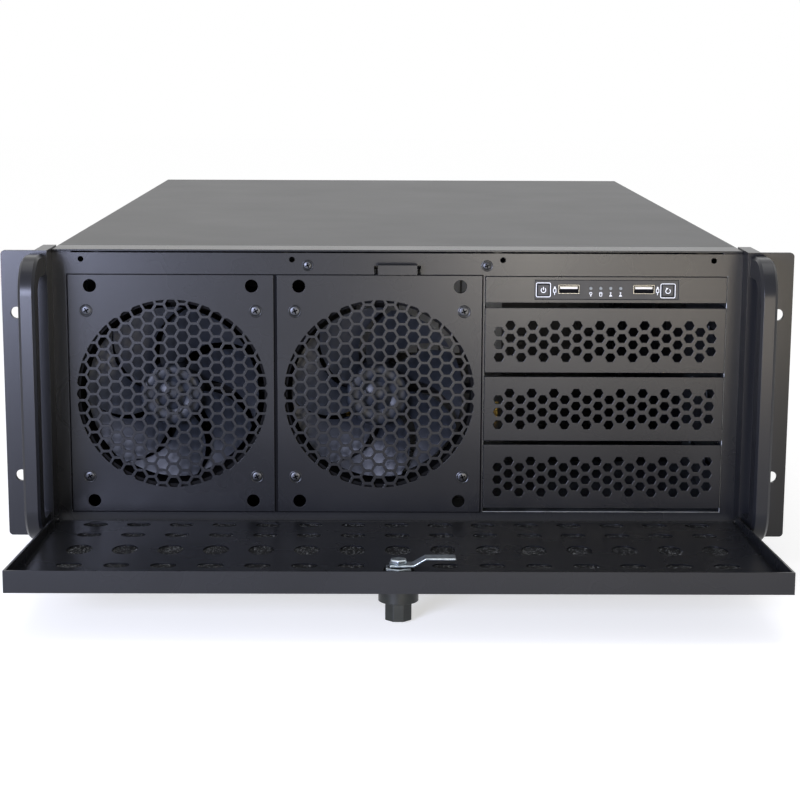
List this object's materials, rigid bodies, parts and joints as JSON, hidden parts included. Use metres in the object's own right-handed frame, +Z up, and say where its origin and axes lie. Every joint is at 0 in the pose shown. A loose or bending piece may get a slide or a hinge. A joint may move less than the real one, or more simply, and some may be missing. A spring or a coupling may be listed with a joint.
{
  "type": "rackmount server case",
  "caption": "Rackmount server chassis with a fold-down front door, mesh-fronted fans, perforated drive bay covers, rack ears and pull handles.",
  "frame": {"origin": "centre of the four rack holes, on the back face of the ears, which lies against the rack's posts", "axes": "+X to the right seen from the front, +Y to the back of the case, +Z up"},
  "size_m": [0.4826, 0.8334, 0.1939],
  "materials": {
    "black_steel": "fine matt black powder coat",
    "bare_steel": "zinc coated sheet steel",
    "black_aluminium": "black coated extrusion",
    "black_fan_plastic": "moulded black",
    "fan_blade_plastic": "moulded dark grey",
    "black_screws": "black oxide",
    "zinc_steel": "bright zinc plate",
    "lock_metal": "satin black",
    "socket_steel": "bright plated",
    "label_plastic": "satin black",
    "button_plastic": "moulded black",
    "indicator_lens": "clear tinted lens",
    "board_laminate": "solder resist",
    "brass": "turned brass",
    "filter_mesh": "woven nylon mesh"
  },
  "bodies": {
    "chassis": {"bay_cover_bottom": "black_steel", "bay_cover_middle": "black_steel", "bay_cover_top": "black_steel", "board_standoffs": "brass", "cage_feet": "bare_steel", "chassis_tray": "black_steel", "cross_brace": "bare_steel", "drive_cage": "bare_steel", "ear_left": "black_aluminium", "ear_right": "black_aluminium", "fan_bulkhead": "black_steel", "fan_frame_left": "black_fan_plastic", "fan_frame_right": "black_fan_plastic", "fan_plate_left": "black_steel", "fan_plate_right": "black_steel", "fan_plate_screws": "black_screws", "front_panel": "black_steel", "handle_left": "black_aluminium", "handle_right": "black_aluminium", "handle_screws": "black_screws", "hinge_pins": "black_screws", "indicator_leds": "indicator_lens", "io_board": "board_laminate", "io_label_panel": "label_plastic", "io_strip": "black_steel", "psu_blank": "black_steel", "psu_shelf": "bare_steel", "rear_panel": "black_steel", "shield_blank": "black_steel", "slot_covers": "bare_steel", "strip_screws": "black_screws", "top_cover": "black_steel", "top_rail": "black_steel", "usb_port_left": "socket_steel", "usb_port_right": "socket_steel"},
    "door": {"door": "black_steel", "door_filter": "filter_mesh", "filter_retainer": "black_steel", "lock_collar": "lock_metal", "lock_nut": "zinc_steel"},
    "lock": {"lock_knob": "lock_metal", "lock_cam": "zinc_steel", "cam_nut": "zinc_steel"},
    "power": {"power_button": "button_plastic"},
    "reset": {"reset_button": "button_plastic"},
    "fan_left": {"fan_rotor_left": "fan_blade_plastic"},
    "fan_right": {"fan_rotor_right": "fan_blade_plastic"}
  },
  "joints": [
    {"name": "door_hinge", "type": "hinge", "parent": "chassis", "child": "door", "pos_m": [0, -0.001, -0.0796], "axis": [-1, 0, 0], "range_deg": [0, 88.85]},
    {"name": "lock_turn", "type": "hinge", "parent": "door", "child": "lock", "pos_m": [0, -0.12618, -0.07709], "axis": [0, -0.0201, -0.9998], "range_deg": [0, 90]},
    {"name": "power_press", "type": "slide", "parent": "chassis", "child": "power", "axis": [0, 1, 0], "range_m": [0, 0.001], "stiffness_N_per_m": 400, "springref_m": -0.001},
    {"name": "reset_press", "type": "slide", "parent": "chassis", "child": "reset", "axis": [0, 1, 0], "range_m": [0, 0.001], "stiffness_N_per_m": 400, "springref_m": -0.001},
    {"name": "fan_left_spin", "type": "hinge", "parent": "chassis", "child": "fan_left", "pos_m": [-0.1402, 0.025, -0.0025], "axis": [0, 1, 0], "continuous": true},
    {"name": "fan_right_spin", "type": "hinge", "parent": "chassis", "child": "fan_right", "pos_m": [-0.011, 0.025, -0.0025], "axis": [0, 1, 0], "continuous": true}
  ]
}
